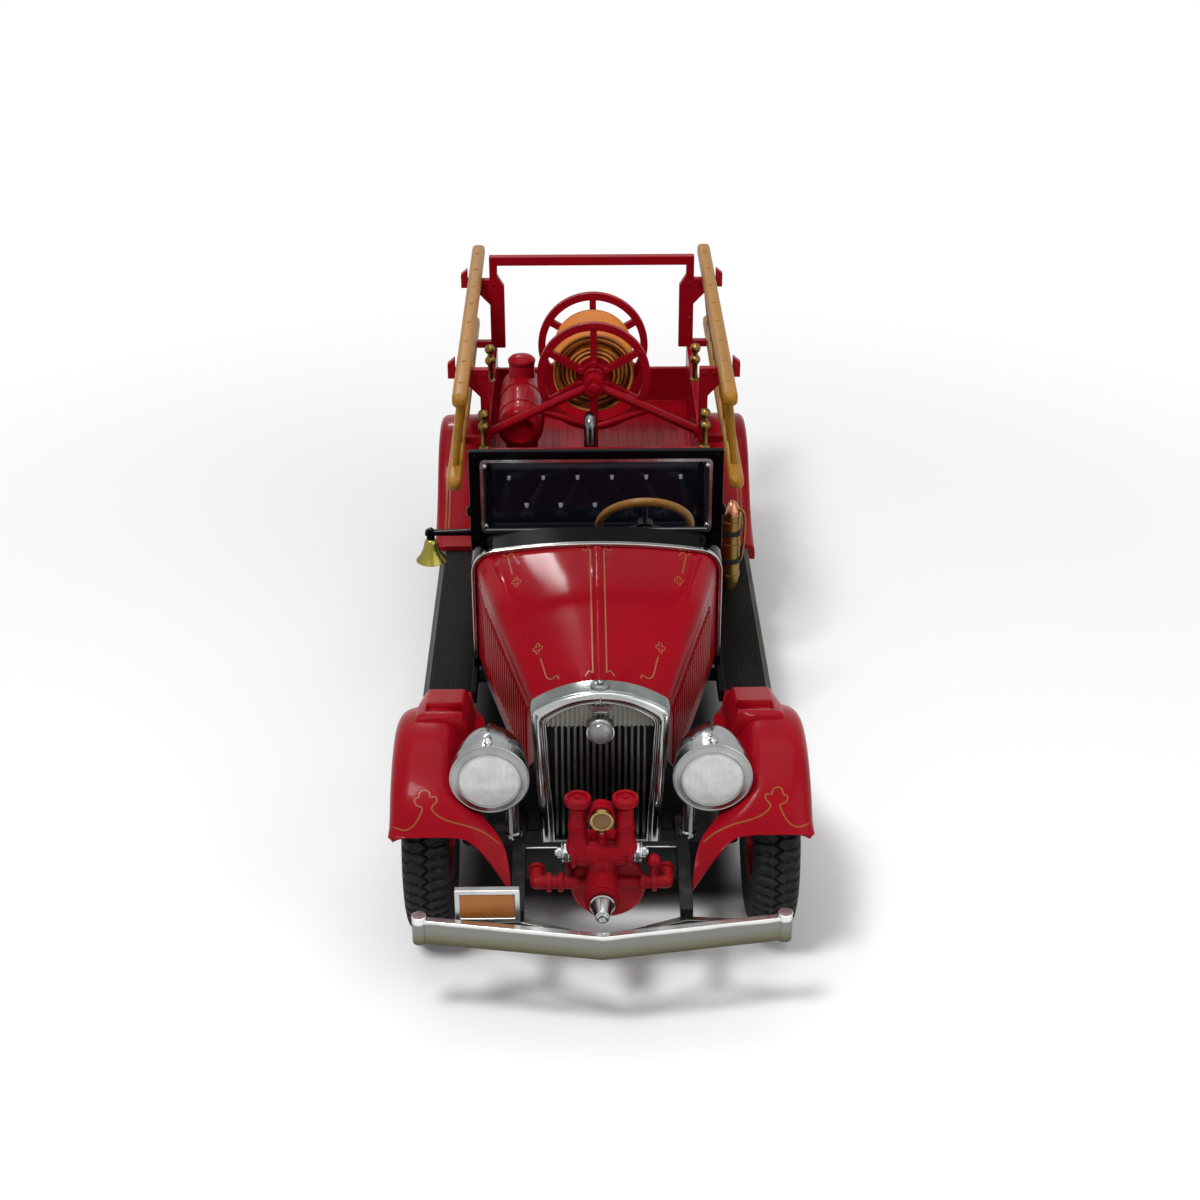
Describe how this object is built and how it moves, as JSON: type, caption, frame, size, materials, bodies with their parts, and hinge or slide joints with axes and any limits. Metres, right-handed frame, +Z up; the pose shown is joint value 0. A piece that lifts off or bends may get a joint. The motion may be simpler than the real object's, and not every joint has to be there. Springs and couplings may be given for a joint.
{
  "type": "scale model fire engine",
  "caption": "Die-cast style scale model of an open cab fire engine with rolling wheels, front pump, turning hose reel, tank, side ladders and bell.",
  "frame": {"origin": "centre of the model's footprint, on the ground plane under the tyres", "axes": "+Z up, the vehicle faces -Y, +X is the vehicle's left side"},
  "size_m": [0.054, 0.1606, 0.0544],
  "materials": {
    "tyre": "moulded black tyre",
    "red_paint": "glossy fire engine red",
    "black_paint": "gloss black",
    "black_chassis": "satin black",
    "chrome": "plated",
    "board_rubber": "ribbed dark grey",
    "seat_plastic": "buttoned dark navy, moulded",
    "tan_plastic": "tan steering wheel",
    "ladder_wood": "ochre wood",
    "hose": "orange hose",
    "brass": "polished brass",
    "grey_metal": "polished grey pipe",
    "clear_glass": "clear windscreen pane",
    "frosted_glass": "frosted lens",
    "silver_plate": "silver plate, blank"
  },
  "bodies": {
    "vehicle": {"chassis_frame": "black_chassis", "front_axle": "black_chassis", "rear_axle": "black_chassis", "leaf_springs": "black_chassis", "front_bumper": "chrome", "number_plate": "silver_plate", "pump_body": "red_paint", "pump_handwheels": "red_paint", "pump_caps": "chrome", "pump_gauge": "brass", "radiator_shell": "chrome", "radiator_core": "black_chassis", "radiator_grille": "chrome", "grille_lamp": "chrome", "lamp_lenses": "frosted_glass", "bonnet": "red_paint", "cowl": "black_paint", "cowl_bead": "chrome", "windscreen_frame": "black_paint", "windscreen_glass": "clear_glass", "cab_body": "red_paint", "seat": "seat_plastic", "steering_wheel": "tan_plastic", "steering_column": "black_chassis", "headlamps": "chrome", "rear_body": "red_paint", "rear_step": "red_paint", "reel_stand": "red_paint", "tank": "red_paint", "feed_pipe": "grey_metal", "ladder_frames": "red_paint", "ladder_keepers": "brass", "bell": "brass", "extinguisher": "brass", "front_fender_left": "red_paint", "rear_fender_left": "red_paint", "running_board_left": "board_rubber", "ladder_left": "ladder_wood", "front_fender_right": "red_paint", "rear_fender_right": "red_paint", "running_board_right": "board_rubber", "ladder_right": "ladder_wood"},
    "reel": {"reel_frame": "red_paint", "reel_hose": "hose"},
    "front_left_wheel": {"tyre_front_left": "tyre", "rim_front_left": "red_paint"},
    "front_right_wheel": {"tyre_front_right": "tyre", "rim_front_right": "red_paint"},
    "rear_left_wheel": {"tyre_rear_left": "tyre", "rim_rear_left": "red_paint"},
    "rear_right_wheel": {"tyre_rear_right": "tyre", "rim_rear_right": "red_paint"}
  },
  "joints": [
    {"name": "front_left_wheel_spin", "type": "hinge", "parent": "vehicle", "child": "front_left_wheel", "pos_m": [0.0226, -0.05425, 0.0138], "axis": [1, 0, 0], "continuous": true},
    {"name": "front_right_wheel_spin", "type": "hinge", "parent": "vehicle", "child": "front_right_wheel", "pos_m": [-0.0226, -0.05425, 0.0138], "axis": [1, 0, 0], "continuous": true},
    {"name": "rear_left_wheel_spin", "type": "hinge", "parent": "vehicle", "child": "rear_left_wheel", "pos_m": [0.0226, 0.04975, 0.0138], "axis": [1, 0, 0], "continuous": true},
    {"name": "rear_right_wheel_spin", "type": "hinge", "parent": "vehicle", "child": "rear_right_wheel", "pos_m": [-0.0226, 0.04975, 0.0138], "axis": [1, 0, 0], "continuous": true},
    {"name": "reel_spin", "type": "hinge", "parent": "vehicle", "child": "reel", "pos_m": [0, 0.03655, 0.0451], "axis": [0, 1, 0], "continuous": true}
  ]
}
